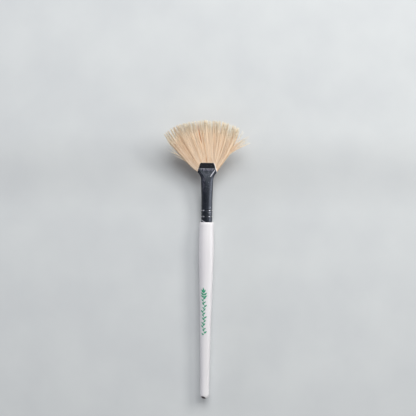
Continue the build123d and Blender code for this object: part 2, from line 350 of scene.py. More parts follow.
def ferrule_material():
    mat = Shader("black_ferrule")
    x, y, z = mat.axes(mat.position)
    cloud = mat.noise(scale=260.0, detail=5.0, rough=0.65)
    base = mat.ramp(cloud, (0.30, srgb(2, 5, 12)), (0.55, srgb(5, 10, 20)),
                    (0.72, srgb(16, 19, 34)), (0.88, srgb(46, 46, 64)))
    # the pressed lip is flat black; the flare below it is lighter in scuffed patches that also paint
    # the sheen of the flare tilting up to the light, and a painted reflection streaks down the left
    # of the tube
    lip = mat.attribute("lip")
    flat = mat.ramp(cloud, (0.3, srgb(8, 8, 10)), (0.8, srgb(20, 20, 23)))
    base = mat.mix(lip, base, flat)
    patches = mat.noise(scale=700.0, detail=2.0, rough=0.6, stretch=(1, 1, 0.70))
    scuffs_and_sheen = mat.times(mat.attribute("scuffs_and_sheen"), mat.span(patches, to=(0.0, 1.0), over=(0.49, 0.60)),
                    clamp=True)
    base = mat.mix(mat.times(scuffs_and_sheen, 0.80), base, srgb(112, 110, 124))
    # fine lines along the tube, and scattered specks
    lines = mat.noise(scale=2600.0, detail=2.0, rough=0.6, stretch=(1, 1, 0.015))
    base = mat.mix(mat.span(lines, to=(0.0, 0.20), over=(0.55, 0.80)), base, srgb(84, 84, 98))
    specks = mat.span(mat.noise(scale=1500.0, detail=2.0, rough=0.5), to=(0.0, 1.0),
                      over=(0.66, 0.72))
    base = mat.mix(mat.times(specks, 0.55), base, srgb(132, 134, 148))
    # bright metal at worn edges and the scratch, and painted glints and highlights in the crimps, on
    # the tube, along the right fold and along the right edge of the mouth
    patches = mat.noise(scale=1800.0, detail=5.0, rough=0.65)
    wear_and_glints = mat.times(mat.attribute("edge"), mat.span(patches, to=(0.0, 1.0), over=(0.34, 0.58)),
                     clamp=True)
    wear_and_glints = mat.maths("MAXIMUM", wear_and_glints, mat.times(scratch_mask(mat, x, y, z), 0.9))
    base = mat.mix(mat.times(wear_and_glints, 0.88), base, srgb(206, 206, 213))
    # painted highlight down the right edge of the mouth
    base = mat.mix(mat.attribute("gleam"), base, srgb(240, 238, 236))
    haze = mat.span(mat.noise(scale=700.0, detail=5.0, rough=0.6, stretch=(1, 1, 0.25)),
                    to=(0.36, 0.54))
    rough = mat.plus(haze, mat.minus(mat.times(lip, 0.14), mat.times(wear_and_glints, 0.12)))
    rough = mat.minus(rough, mat.times(mat.attribute("groove"), 0.20))
    specular = mat.plus(mat.span(lip, to=(0.42, 0.20)), mat.times(mat.attribute("groove"), 0.12))
    mat.surface({"Base Color": base,
                 "Metallic": mat.span(wear_and_glints, to=(0.0, 0.40)),
                 "Roughness": rough,
                 "Specular IOR Level": specular,
                 "Specular Tint": (0.80, 0.88, 1.0)})
    height = mat.plus(mat.noise(scale=520.0, detail=4.0, rough=0.55), mat.times(lines, 0.25))
    mat.bump(height, strength=0.30, distance=0.00012)
    return mat.material


def hair_material():
    """Colour runs along each bristle; every bristle and lock has its own tint, and whole wisps are
    darkened as painted shade.
    """
    mat = Shader("hog_bristle")
    along, tint, lock = (mat.attribute(name) for name in ("along", "tint", "lock"))
    body = mat.ramp(along, (0.0, srgb(226, 192, 150)), (0.16, srgb(240, 214, 180)),
                    (0.34, srgb(252, 231, 200)), (0.50, srgb(253, 232, 202)),
                    (0.72, srgb(251, 233, 207)), (0.88, srgb(240, 231, 212)),
                    (1.0, srgb(222, 219, 206)))
    kinds = mat.ramp(tint, (0.0, srgb(186, 128, 74)), (0.05, srgb(200, 152, 104)),
                     (0.16, srgb(234, 200, 158)), (0.42, srgb(252, 230, 198)),
                     (0.70, srgb(254, 241, 218)), (0.90, srgb(255, 253, 244)))
    colour = mat.mix(mat.span(along, to=(0.66, 0.34)), body, kinds)
    # darker wisps: painted shade standing in for the shade between locks
    colour = mat.mix(mat.span(lock, to=(0.0, 0.56)), colour, srgb(216, 180, 140), "MULTIPLY")
    uv = mat.add("UVMap", uv_map="OFBake").outputs["UV"]
    streak = mat.noise(scale=9.0, detail=4.0, rough=0.6, stretch=(60, 1, 1), vector=uv)
    colour = mat.mix(mat.span(streak, to=(0.0, 0.24), over=(0.42, 0.80)), colour,
                     srgb(222, 188, 148))
    # warm and yellowed at the root, thin and grey at the tips
    age = mat.ramp(along, (0.0, (0.78, 0.69, 0.62)), (0.16, (0.85, 0.775, 0.72)),
                   (0.45, (0.965, 0.895, 0.84)), (0.76, (0.99, 0.935, 0.875)),
                   (0.97, (0.93, 0.92, 0.87)))
    colour = mat.mix(1.0, colour, age, "MULTIPLY")
    # bristles with next to no tint are the dark ones
    dark = mat.span(tint, to=(0.95, 0.0), over=(0.0, 0.035))
    mat.surface({"Base Color": mat.mix(dark, colour, srgb(188, 126, 72)),
                 "Roughness": mat.span(streak, to=(0.28, 0.48)),
                 "Specular IOR Level": 0.55})
    scales = mat.noise(scale=30.0, detail=3.0, rough=0.6, stretch=(30, 14, 1), vector=uv)
    mat.bump(scales, strength=0.25, distance=0.00004)
    return mat.material


def print_material():
    mat = Shader("green_print")
    ink = mat.noise(scale=1600.0, detail=4.0, rough=0.6)
    gloss = mat.noise(scale=900.0, detail=3.0, rough=0.5)
    mat.surface({"Base Color": mat.ramp(ink, (0.25, srgb(44, 140, 104)),
                                        (0.55, srgb(58, 156, 120)), (0.85, srgb(92, 176, 146))),
                 "Roughness": mat.span(gloss, to=(0.30, 0.48)),
                 "Coat Weight": 0.2})
    mat.bump(mat.noise(scale=3000.0, detail=2.0, rough=0.5), strength=0.2, distance=0.00002)
    return mat.material


def wood_material():
    mat = Shader("bare_wood")
    grain = mat.noise(scale=700.0, detail=5.0, rough=0.6, stretch=(1, 1, 0.03))
    mat.surface({"Base Color": mat.ramp(grain, (0.30, srgb(176, 138, 94)),
                                        (0.55, srgb(208, 172, 124)), (0.80, srgb(226, 196, 150))),
                 "Roughness": mat.span(grain, to=(0.55, 0.75))})
    mat.bump(grain, strength=0.3, distance=0.00008)
    return mat.material


def resin_material(name, dark, light):
    mat = Shader(name)
    cloud = mat.noise(scale=600.0, detail=4.0, rough=0.55)
    mat.surface({"Base Color": mat.ramp(cloud, (0.3, dark), (0.7, light)),
                 "Roughness": mat.span(cloud, to=(0.18, 0.36)),
                 "Coat Weight": 0.3})
    mat.bump(cloud, strength=0.15, distance=0.0001)
    return mat.material


def thread_material():
    mat = Shader("binding_thread")
    wave = mat.add("TexWave", Scale=900.0, Distortion=3.0, Detail=2.0, Vector=mat.position,
                   bands_direction="DIAGONAL").outputs["Fac"]
    mat.surface({"Base Color": mat.ramp(wave, (0.2, srgb(186, 178, 162)),
                                        (0.8, srgb(226, 220, 206))),
                 "Roughness": mat.span(wave, to=(0.65, 0.85))})
    mat.bump(wave, strength=0.5, distance=0.00005)
    return mat.material


LACQUER, BLACK, HAIR, GREEN = (lacquer_material(), ferrule_material(), hair_material(),
                               print_material())

# CAD pieces that keep their shape, all inside the ferrule and the coat
for piece, material in (
        ("handle", wood_material()),
        ("tenon_glue", resin_material("glue_film", dark=srgb(206, 190, 150),
                                      light=srgb(232, 220, 188))),
        ("knot_resin", resin_material("setting_resin", dark=srgb(120, 78, 30),
                                      light=srgb(176, 128, 60))),
        ("knot_thread", thread_material())):
    NODES[piece].data.materials.clear()
    NODES[piece].data.materials.append(material)

# ------------------------------------------------------------------ lacquered handle
COAT = 0.096                # thickness of the lacquer shell
POLE = 0.0005               # radius of the tiny hole closed by a cap at each end
BORE = 3.545                # opening at the shoulder
FLAT = 4.02                 # where the flat top of the shoulder starts to round over
BROW_Z = SHOULDER - 0.35
HANDLE_COLS = 128
PROFILE = [  # height, radius over the lacquer
    (0.0, 1.30), (0.10, 1.52), (0.34, 1.92), (0.68, 2.30), (1.15, 2.57), (1.75, 2.76),
    (2.45, 2.85), (3.2, 2.88), (8.0, 2.88), (13.6, 2.88), (17.0, 2.96), (22.0, 3.05),
    (27.2, 3.13), (32.0, 3.22), (36.8, 3.33), (41.6, 3.43), (46.4, 3.52), (52.2, 3.66),
    (57.9, 3.79), (63.7, 3.94), (69.4, 4.11), (75.2, 4.27), (81.0, 4.47), (86.7, 4.64),
    (92.5, 4.74), (97.0, 4.77), (101.0, 4.74), (105.0, 4.65), (107.0, 4.585), (108.8, 4.555),
    (110.5, 4.553), (111.2, 4.535), (111.7, 4.495), (112.1, 4.435), (BROW_Z, 4.34)]
BROW = [  # radius, depth below the shoulder: rounded brow, then the flat top inwards
    (4.318, 0.30), (4.287, 0.24), (4.255, 0.17), (4.21, 0.105), (4.155, 0.05), (4.09, 0.015),
    (FLAT, 0), (3.80, 0), (3.60, 0), (BORE, 0)]
INNER_BUTT = [(1.75, 0.42), (1.2, 0.14), (POLE, 0.125)]    # radius, height


def handle_radius(z):
    return pchip(PROFILE, z)[:, 0]


def build_handle():
    z = np.r_[np.linspace(0, 0.34, 7), np.linspace(0.42, 3.2, 18), np.linspace(4.2, 108.8, 150),
              np.linspace(109.2, BROW_Z, 20)]
    outer = [(POLE, 0.0), (0.65, 0.0), *zip(handle_radius(z), z)]
    outer += [(radius, SHOULDER - depth) for radius, depth in BROW]
    z = np.r_[np.linspace(BROW_Z, 108.0, 20), np.linspace(107.0, 0.9, 60)]
    inner = [(BORE, SHOULDER - COAT), (FLAT, SHOULDER - COAT),
             *zip(handle_radius(z) - COAT, z), *INNER_BUTT]
    outline = outer + inner
    angles = np.linspace(0, 2 * math.pi, HANDLE_COLS, endpoint=False)
    verts = [(r * math.cos(a), r * math.sin(a), height) for r, height in outline for a in angles]
    faces, uv = ring_faces(len(outline), HANDLE_COLS)
    last = len(outline) - 1
    for row, order in ((0, -1), (last, 1)):
        faces.append([row * HANDLE_COLS + j for j in range(HANDLE_COLS)][::order])
        uv += [(0.5, row / last)] * HANDLE_COLS
    ob = new_mesh("handle_lacquer_coat", verts, faces, LACQUER, uv)
    fix_still(ob, "handle_lacquer")


build_handle()

# ------------------------------------------------------------------ ferrule
TUBE = 3.52                     # radius of the round part
WALL = 0.35
FERRULE_COLS = 256
CRIMPS = (116.5, 120.4)         # heights of the two pressed grooves
CRIMP_REACH = 0.9               # finely meshed to each side of a groove
FLARE_Z = 140.0                 # the wall is meshed up to its cut edge from here
FINE_STEP = 0.05
FINE_Z = np.arange(FLARE_Z, 151.41, FINE_STEP)
SECTIONS = [  # height, half width, half thickness, fullness of the oval
    (FOOT, TUBE, TUBE, 2.0), (126.0, TUBE, TUBE, 2.0), (129.0, 3.58, 3.50, 2.0),
    (133.4, 3.74, 3.34, 2.05), (137.5, 3.88, 3.00, 2.15), (140.4, 4.04, 2.58, 2.45),
    (142.2, 4.48, 2.20, 3.0), (143.6, 5.28, 1.88, 3.8), (144.8, 6.20, 1.63, 4.6),
    (146.2, 6.95, 1.44, 5.2), (146.9, 7.15, 1.37, 5.6), (147.2, 7.25, 1.35, 5.8),
    (148.6, 7.70, 1.34, 6.0), (151.4, 8.30, 1.34, 6.0)]
EDGE_WIDTH = [  # height, half width at which the open edge is cut
    (143.8, 6.48), (146.9, 5.55), (149.6, 4.77), (150.15, 4.58), (150.45, 4.38), (150.62, 4.14),
    (MOUTH, 3.80)]
FOLD_FOOT, FOLD_TOP = (1.9, 141.7), (5.0, 146.2)    # (x, z) ends of the fold up each side


def oval(z, inset):
    """x and y evenly spaced round the section at a height."""
    width, depth, fullness = pchip(SECTIONS, z)[0]
    t = np.linspace(0, 2 * math.pi, 1441)
    x, y = ((size - inset) * np.sign(wave) * np.abs(wave) ** (2 / fullness)
            for size, wave in ((width, np.cos(t)), (depth, np.sin(t))))
    travelled = np.r_[0, np.cumsum(np.hypot(np.diff(x), np.diff(y)))]
    wanted = np.linspace(0, travelled[-1], FERRULE_COLS + 1)[:-1]
    return np.interp(wanted, travelled, x), np.interp(wanted, travelled, y)


def fold_distance(x, z):
    """Share of the way up the side fold, and distance from its line."""
    across, up = FOLD_TOP[0] - FOLD_FOOT[0], FOLD_TOP[1] - FOLD_FOOT[1]
    out, rise = np.abs(x) - FOLD_FOOT[0], z - FOLD_FOOT[1]
    share = np.clip((out * across + rise * up) / (across**2 + up**2), 0, 1)
    return share, np.hypot(out - share * across, rise - share * up)


def cut_heights(table_x):
    """Height where each column of the wall meets the cut edge."""
    width = np.interp(FINE_Z, *zip(*EDGE_WIDTH))
    in_reach = (FINE_Z >= EDGE_WIDTH[0][0]) & (FINE_Z <= MOUTH)
    top = np.full(FERRULE_COLS, MOUTH)
    for j in range(FERRULE_COLS):
        cut = np.where(in_reach & (np.abs(table_x[:, j]) >= width))[0]
        if len(cut):
            k = cut[0]
            below, above = width[k - 1:k + 1] - np.abs(table_x[k - 1:k + 1, j])
            step = FINE_Z[k] - FINE_Z[k - 1]
            top[j] = FINE_Z[k - 1] + step * below / max(below - above, 1e-9)
    return np.minimum(top, MOUTH)


def tube_rows(inset):
    """Rows from the foot to the flare, with the crimps pressed in."""
    edges = [FOOT] + [crimp + side for crimp in CRIMPS for side in (-CRIMP_REACH, CRIMP_REACH)]
    heights = [np.linspace(low, high, steps, endpoint=False)
               for low, high, steps in zip(edges, edges[1:] + [FLARE_Z], (11, 24, 5, 24, 55))]
    rows = []
    for z in np.r_[tuple(heights) + (FLARE_Z,)]:
        x, y = oval(z, inset)
        if z < 126:
            radius = TUBE - inset - sum(0.30 * math.cos(math.pi * (z - crimp) / 1.1) ** 2
                                        for crimp in CRIMPS if abs(z - crimp) < 0.55)
            turn_in = 0.0
            if inset == 0:      # soft swell beside each crimp, and the foot drawn in
                radius += sum(0.06 * bell(abs(z - crimp), 0.64, 0.16) for crimp in CRIMPS)
                turn_in = 0.012 * max(0.0, 1 - (z - FOOT) / 0.35) ** 2
            scale = radius / (TUBE - inset) - turn_in
            x, y = x * scale, y * scale
        rows.append(np.column_stack([x, y, np.full(FERRULE_COLS, z)]))
    return rows


def flare_rows(inset):
    """Rows from the flare to the open edge, with the pressed folds."""
    table_x, table_y = (np.array(part) for part in zip(*(oval(z, inset) for z in FINE_Z)))
    top = cut_heights(table_x)
    j = np.arange(FERRULE_COLS)
    rows = []
    for share in np.linspace(0, 1, 71)[1:]:
        z = FLARE_Z + (top - FLARE_Z) * share
        k = np.clip(((z - FINE_Z[0]) / FINE_STEP).astype(int), 0, len(FINE_Z) - 2)
        part = (z - FINE_Z[k]) / FINE_STEP
        x, y = (table[k, j] * (1 - part) + table[k + 1, j] * part for table in (table_x, table_y))
        # one fold up each side of the flare, one straight across under the lip
        up, distance = fold_distance(x, z)
        fold = 0.15 * bell(distance, 0, 0.34) * np.sin(np.pi * (up * 0.9 + 0.05)) ** 0.5
        fold = fold + 0.09 * bell(z, 146.85, 0.22) * (np.abs(x) < 5.6) - 0.05 * bell(z, 147.35, 0.20)
        fold *= np.clip(np.abs(y) / 0.8, 0, 1) * (1.0 if inset == 0 else 0.5)
        rows.append(np.column_stack([x, y + np.sign(y) * fold, z]))
    return rows


def painted_gleam_edge(row, lip_row):
    """Columns at the front right of the mouth, where a highlight is painted along the edge."""
    return (lip_row[:, 0] > 4.3) * (row[:, 1] < 0.3) * fade(lip_row[:, 2], 145.2, 146.4)


def outer_wear_and_highlights(row, lip_row):
    """Wear layers and painted highlights for one outer row of the wall."""
    x, z = row[:, 0], row[:, 2]
    to_lip = np.linalg.norm(row - lip_row, axis=1)
    up, to_fold = fold_distance(x, z)
    # painted glints in the crimps, to the right and left of the front
    crimp_glints = 1.9 * bell(x, 1.85, 0.48) + 1.35 * bell(x, -2.10, 0.55)
    edge = [1.6 * bell(to_lip, 0, 0.34) * (lip_row[:, 0] > 4.0),    # painted highlight along the right edge of the mouth
            *(crimp_glints * bell(z, crimp, 0.30) for crimp in CRIMPS),
            0.42 * bell(x, 2.1, 0.5) * bell(z, 122.3, 0.32),        # painted glint above the upper crimp
            0.42 * bell(x, 1.7, 0.9) * bell(z, 119.0, 0.32),        # painted glint between the crimps
            0.30 * bell(z, FOOT, 0.10),
            0.42 * bell(z, 146.95, 0.20),                           # worn line along the fold under the lip, also painting the light the crease catches
            np.where(x > 0, 1.9 - 0.9 * up, 0.0) * bell(to_fold, 0, 0.36 - 0.14 * up)
            * fade(up, 0.0125, 0.1375)]                             # painted highlight along the fold on the right
    # lighter flare, strongest under the lip: scuffs, and painted sheen where the flare tilts up to
    # the light
    flare = ((0.20 + 0.80 * fade(z, 145.4, 146.3)) * fade(z, 140.8, 143.0)
             * fade(z, 147.3, 146.9))
    # painted reflection in a mottled streak down the left of the tube
    left_reflection = 0.42 * bell(x, -2.0, 0.8) * fade(z, 128, 134) * (z < 142)
    return {"lip": fade(z, 147.0, 147.35),
            "scuffs_and_sheen": np.maximum(flare, left_reflection),
            "groove": np.maximum(*(np.exp(-((z - crimp) / 0.50) ** 4) for crimp in CRIMPS)),
            "gleam": np.exp(-(to_lip / 0.36) ** 4) * painted_gleam_edge(row, lip_row),
            "edge": np.maximum.reduce(edge)}


def build_ferrule():
    cols = FERRULE_COLS
    outer, inner = (tube_rows(inset) + flare_rows(inset) for inset in (0.0, WALL))
    # half-round rim joining the two walls
    lip_row = outer[-1]
    up = lip_row - outer[-2]
    up /= np.linalg.norm(up, axis=1)[:, None]
    middle, half = (lip_row + inner[-1]) / 2, (lip_row - inner[-1]) / 2
    rise = up * np.linalg.norm(half, axis=1)[:, None] * 0.55
    rim = [middle + half * math.cos(a) + rise * math.sin(a)
           for a in np.linspace(0, math.pi, 7)[1:-1]]
    rows = outer + rim + inner[::-1]
    faces, uv = ring_faces(len(rows), cols)
    last = (len(rows) - 1) * cols
    for j in range(cols):                                   # flat ring under the foot
        k = (j + 1) % cols
        faces.append([last + j, last + k, k, j])
        uv += [(j / cols, 1.0)] * 4
    ob = new_mesh("ferrule_shell", np.vstack(rows), faces, BLACK, uv)

    layers = {name: np.zeros((len(rows), cols)) for name in ("lip", "scuffs_and_sheen", "groove", "gleam", "edge")}
    for i, row in enumerate(outer):
        for name, values in outer_wear_and_highlights(row, lip_row).items():
            layers[name][i] = values
    for i, row in enumerate(rim, len(outer)):
        layers["edge"][i] = 0.55
        layers["lip"][i] = 1
        layers["gleam"][i] = painted_gleam_edge(row, lip_row)
    for name, values in layers.items():
        store(ob, name, values)
    fix_still(ob, "ferrule")


build_ferrule()

# ------------------------------------------------------------------ bristles
# the line of the tips and the line of the mouth, (x, z) from left to right
TIP_LINE = smooth_path([
    (-28.1, 168.5), (-26.6, 170.0), (-24.2, 171.7), (-20.6, 174.0), (-16.5, 175.3),
    (-12.6, 176.4), (-8.2, 177.2), (-3.2, TOP), (2.0, TOP), (6.4, 177.6), (11.0, 176.6),
    (15.2, 175.1), (18.2, 174.0), (20.0, 172.9)], 400)
MOUTH_LINE = smooth_path([
    (-6.08, 144.95), (-5.42, 146.95), (-4.50, 149.9), (-3.7, 150.45), (0, 150.5), (3.7, 150.45),
    (4.50, 149.9), (5.42, 146.95), (6.08, 144.95)], 400)
# share of the length, outward bow of the outermost bristles from the straight line
BOW_LEFT = [(0.0, 0.0), (0.10, 0.60), (0.20, 0.98), (0.32, 1.12), (0.48, 1.08), (0.64, 1.10),
            (0.80, 1.15), (1.0, 0.20)]
BOW_RIGHT = [(0.0, 0.0), (0.19, 0.65), (0.42, 1.70), (0.66, 1.85), (0.86, 1.45), (1.0, 0.60)]
ROOT_X, ROOT_Z = 3.9, 142.4     # half width and height of the tied roots
GATHER = 0.66                   # share of the length where bristles turn towards their tuft
LOCKS = 14
SIDES = 5
MAIN, GUARD, ROOTS = 1900, 400, 420
TUFTS, WISPS = 29, 90           # tips gather into tufts, and those into finer wisps
STEPS = 17                      # points along each bristle


def on_line(line, share):
    share = np.clip(share, -0.02, 1.02) * (len(line) - 1)
    i = np.clip(np.floor(share).astype(int), 0, len(line) - 2)
    part = (share - i)[:, None]
    return line[i] * (1 - part) + line[i + 1] * part


def tubes(name, paths, radii, tint, lock, along=None):
    """One mesh of capped tubes from paths (hairs, points, 3) and radii (hairs, points)."""
    count, steps = paths.shape[:2]
    travel = np.gradient(paths, axis=1)
    travel /= np.linalg.norm(travel, axis=2)[..., None] + 1e-12
    side = np.cross(travel, np.array([0.0, 1.0, 0.0]))
    side /= np.linalg.norm(side, axis=2)[..., None] + 1e-12
    normal = np.cross(side, travel)
    turn = rng.uniform(0, 2 * math.pi, count)
    angle = (turn[:, None] + np.arange(SIDES)[None] * 2 * math.pi / SIDES)[:, None, :, None]
    spoke = np.cos(angle) * side[:, :, None, :] + np.sin(angle) * normal[:, :, None, :]
    verts = (paths[:, :, None, :] + radii[:, :, None, None] * spoke).reshape(-1, 3)

    hair, ring, corner = np.meshgrid(np.arange(count), np.arange(steps - 1), np.arange(SIDES),
                                     indexing="ij")
    after = (corner + 1) % SIDES
    lower = (hair * steps + ring) * SIDES
    upper = lower + SIDES
    faces = np.stack([lower + corner, lower + after, upper + after, upper + corner],
                     -1).reshape(-1, 4).tolist()
    if along is None:
        along = np.tile(np.linspace(0, 1, steps), (count, 1))
    width = 0.8 / count                 # share of the uv square taken by one hair
    u0 = (hair + 0.1) / count + width * corner / SIDES
    u1 = (hair + 0.1) / count + width * (corner + 1) / SIDES
    low, high = along[hair, ring], along[hair, ring + 1]
    uv = np.stack([u0, low, u1, low, u1, high, u0, high], -1).reshape(-1, 2).tolist()
    for i in range(count):
        first, last = i * steps * SIDES, ((i + 1) * steps - 1) * SIDES
        faces.append([first + c for c in range(SIDES)][::-1])
        faces.append([last + c for c in range(SIDES)])
        for end in (0, -1):
            uv += [((i + 0.5) / count, float(along[i, end]))] * SIDES
    ob = new_mesh(name, verts, faces, HAIR, uv)
    store(ob, "along", np.repeat(along.ravel(), SIDES))
    tint = np.broadcast_to(tint[:, None] if np.ndim(tint) == 1 else tint, (count, steps))
    store(ob, "tint", np.repeat(tint.ravel(), SIDES))
    store(ob, "lock", np.repeat(lock, steps * SIDES))
    return ob


def fan_paths(start, tip, length, y_in, y_tip, sway, phase, depth=STEPS - 3):
    """Paths from the tied root, out of the mouth, to the tip line.

    start and tip are shares along the mouth and tip lines; depth counts steps above the mouth."""
    mouth = on_line(MOUTH_LINE, start)
    left = fade(start, 0.30, 0) ** 1.3
    right = fade(start, 0.62, 1) ** 1.3
    root_x = -ROOT_X + 2 * ROOT_X * start
    points = np.zeros((len(start), depth + 3, 3))
    points[:, 0] = np.column_stack([root_x, y_in * 0.9, np.full(len(start), ROOT_Z)])
    points[:, 1] = np.column_stack([root_x * 0.35 + mouth[:, 0] * 0.65, y_in * 0.95,
                                    ROOT_Z * 0.35 + mouth[:, 1] * 0.65])
    for k in range(depth + 1):
        t = k / depth
        aim = on_line(TIP_LINE, start + (tip - start) * ease(fade(t, GATHER, 1))) - mouth
        outward = (np.column_stack([-aim[:, 1], aim[:, 0]])     # to the left of travel
                   / np.linalg.norm(aim, axis=1)[:, None])
        run = np.clip(t * length, 0, 1)
        bow = pchip(BOW_LEFT, run)[:, 0] * left - pchip(BOW_RIGHT, run)[:, 0] * right
        wobble = sway * np.sin(phase + 2.6 * t) * t ** 1.4
        place = mouth + aim * (t * length)[:, None] + outward * (bow + wobble)[:, None]
        swell = 0.35 * np.sign(y_in) * np.abs(y_in) * math.sin(math.pi * t)
        y = y_in + (y_tip - y_in) * t ** 0.9 + swell
        points[:, k + 2] = np.column_stack([place[:, 0], y, place[:, 1]])
    return points


def taper(steps, radius, tip_share=0.42):
    t = np.linspace(0, 1, steps)
    shape = (1 - 0.25 * t) * (1 - (1 - tip_share) * np.clip((t - 0.78) / 0.22, 0, 1) ** 1.2)
    return radius[:, None] * shape[None]


def cuts(count, jitter):
    """Uneven boundaries splitting 0..1 into count shares."""
    widths = np.clip(1 + rng.normal(0, jitter, count), 0.35, None)
    return np.r_[0, np.cumsum(widths) / widths.sum()]


def within(share, edges):
    """Which group each share falls in, its middle, and the place across it, -1 to 1."""
    i = np.clip(np.searchsorted(edges, share, side="right") - 1, 0, len(edges) - 2)
    middle, half = (edges[i] + edges[i + 1]) / 2, (edges[i + 1] - edges[i]) / 2
    return i, middle, (share - middle) / half


def main_bristles():
    """Settings of the main bristles, and the middle of each one's tuft."""
    def scatter(spread, size=MAIN):
        return rng.normal(0, spread, size)

    start = (np.arange(MAIN) + rng.uniform(0, 1, MAIN)) / MAIN
    tuft_cut, wisp_cut = cuts(TUFTS, jitter=0.42), cuts(WISPS, jitter=0.40)
    tuft, tuft_middle, tuft_across = within(start, tuft_cut)
    wisp, wisp_middle, wisp_across = within(start, wisp_cut)

    # where the tip lands: pulled together by wisp, then by tuft, loosest at the left
    opened = fade(start, 0.22, 0)
    hold_tuft = np.clip(rng.normal(0.79, 0.11, TUFTS), 0.50, 0.98)[tuft] - 0.27 * opened
    hold_wisp = np.clip(rng.normal(0.58, 0.14, WISPS), 0.25, 0.92)[wisp] - 0.12 * opened
    tip = wisp_middle + (start - wisp_middle) * hold_wisp
    tip = tuft_middle + (tip - tuft_middle) * hold_tuft + scatter(0.0010)
    tip += scatter(0.0028, TUFTS)[tuft]
    crossing = rng.uniform(0, 1, MAIN) < 0.06
    tip = tip + np.where(crossing, scatter(0.012), 0)

    # length as a share of the way to the tip line, less towards the sides of tufts and wisps
    length = 1.022 - 0.030 * rng.uniform(0, 1, MAIN) ** 1.8
    length = length + scatter(0.004, WISPS)[wisp] + scatter(0.005, TUFTS)[tuft]
    length -= (rng.uniform(0.006, 0.050, TUFTS)[tuft] * np.abs(tuft_across) ** 2.2
               + rng.uniform(0.0, 0.034, WISPS)[wisp] * np.abs(wisp_across) ** 1.8)
    short = rng.uniform(0, 1, MAIN) < 0.22
    length = np.where(short, length - rng.uniform(0.03, 0.16, MAIN), length)
    length = np.where(rng.uniform(0, 1, MAIN) < 0.02, length + 0.012, length)
    length = np.minimum(length, 1.018)

    # depth in the fan, side sway and colour, with painted shade per wisp, strongest on the left
    y_in = rng.uniform(-0.88, 0.88, MAIN) * np.where((start < 0.2) | (start > 0.8), 0.72, 1.0)
    y_tip = np.clip(scatter(0.12, TUFTS)[tuft] + scatter(0.27, WISPS)[wisp] + 1.05 * y_in
                    + scatter(0.12), -1.50, 1.50)
    sway = scatter(0.075) + scatter(0.075, WISPS)[wisp]
    phase = (rng.uniform(0, 2 * math.pi, MAIN) * 0.3
             + rng.uniform(0, 2 * math.pi, WISPS)[wisp])
    tint = np.clip(0.58 + scatter(0.20) + scatter(0.26, WISPS)[wisp], 0.05, 1)
    tint = np.clip(tint + np.interp(start, [0, 0.4, 0.6], [0.12, 0.08, 0.0]), 0.05, 1)
    shade = np.clip(1.35 * rng.beta(0.9, 3.4, WISPS)[wisp] + scatter(0.14), 0, 1)
    shade = shade * np.interp(start, [0, 0.35, 0.65, 1], [1.30, 1.15, 0.85, 0.70])
    return dict(start=start, tip=tip, length=length, y_in=y_in, y_tip=y_tip, sway=sway,
                phase=phase, tint=tint, shade=np.clip(shade, 0, 1)), tuft_middle


def guard_bristles(tuft_middle):
    """Springy bristles lying across the front and back of the fan."""
    start = rng.uniform(0.01, 0.99, GUARD)
    face = np.where(rng.uniform(0, 1, GUARD) < 0.62, -1.0, 1.0)
    tip = start + rng.normal(0, 0.016, GUARD)
    nearest = np.clip((tip * MAIN).astype(int), 0, MAIN - 1)
    return dict(start=start, tip=tuft_middle[nearest] * 0.35 + tip * 0.65,
                length=1.0 - rng.uniform(0.0, 0.10, GUARD),
                y_in=face * 0.90, y_tip=face * rng.uniform(0.9, 1.55, GUARD),
                sway=rng.normal(0, 0.15, GUARD), phase=rng.uniform(0, 2 * math.pi, GUARD),
                tint=np.clip(rng.normal(0.78, 0.22, GUARD), 0.08, 1),
                shade=rng.uniform(0, 0.25, GUARD))


def fan_group():
    """Share along the mouth, then paths, radii, tints and shades of the whole fan."""
    main, tuft_middle = main_bristles()
    guard = guard_bristles(tuft_middle)
    hairs = {key: np.r_[main[key], guard[key]] for key in main}
    thick = np.r_[rng.uniform(0.070, 0.094, MAIN), rng.uniform(0.070, 0.088, GUARD)]
    tint, shade = hairs.pop("tint"), hairs.pop("shade")
    # one shorter lock left of the middle, brought to the front and dark towards its tip
    streak = (np.abs(hairs["start"] - 0.456) < 0.0095) & (hairs["y_in"] < 0.40)
    hairs["length"] = np.where(streak, hairs["length"] - 0.07, hairs["length"])
    hairs["y_tip"] = np.where(streak, np.abs(hairs["y_tip"]) * 0.2 - 1.35, hairs["y_tip"])
    run = np.linspace(0, 1, STEPS)[None]
    tint = np.where(streak[:, None] & (run > 0.60), 0.0, tint[:, None] + 0 * run)
    return hairs["start"], [fan_paths(**hairs), taper(STEPS, thick), tint, shade]


def resampled(paths, radii, tint, lock):
    """The same group with STEPS points along each bristle."""
    old, new = np.linspace(0, 1, paths.shape[1]), np.linspace(0, 1, STEPS)
    paths = np.stack([np.column_stack([np.interp(new, old, path[:, c]) for c in range(3)])
                      for path in paths])
    radii = np.stack([np.interp(new, old, row) for row in radii])
    return paths, radii, np.repeat(tint[:, None], STEPS, axis=1), lock


def strays(count, spread, thick, shortest, points, steps=15):
    """A few loose bristles along a line of (x, z) points, fanning by spread at the tip."""
    middle = smooth_path(points, steps)
    t = np.linspace(0, 1, steps)
    normal = left_of(middle)
    paths = np.zeros((count, steps, 3))
    for i in range(count):
        offset = rng.uniform(-1, 1)
        reach = t * rng.uniform(shortest, 1.0)
        line_x, line_z, normal_x, normal_z = (np.interp(reach, t, values)
                                              for values in (*middle.T, *normal.T))
        aside = (offset * spread * reach ** 1.4
                 + 0.12 * rng.normal() * np.sin(3 * reach + rng.uniform(0, 6)) * reach)
        paths[i, :, 0] = line_x + normal_x * aside
        paths[i, :, 2] = line_z + normal_z * aside
        paths[i, :, 1] = rng.uniform(-0.5, 0.5) * (0.6 + 0.9 * reach)
    tint = np.clip(rng.normal(0.9, 0.08, count), 0, 1)
    radii = taper(steps, np.full(count, thick) * rng.uniform(0.85, 1.15, count))
    return resampled(paths, radii, tint, rng.uniform(0, 0.4, count))


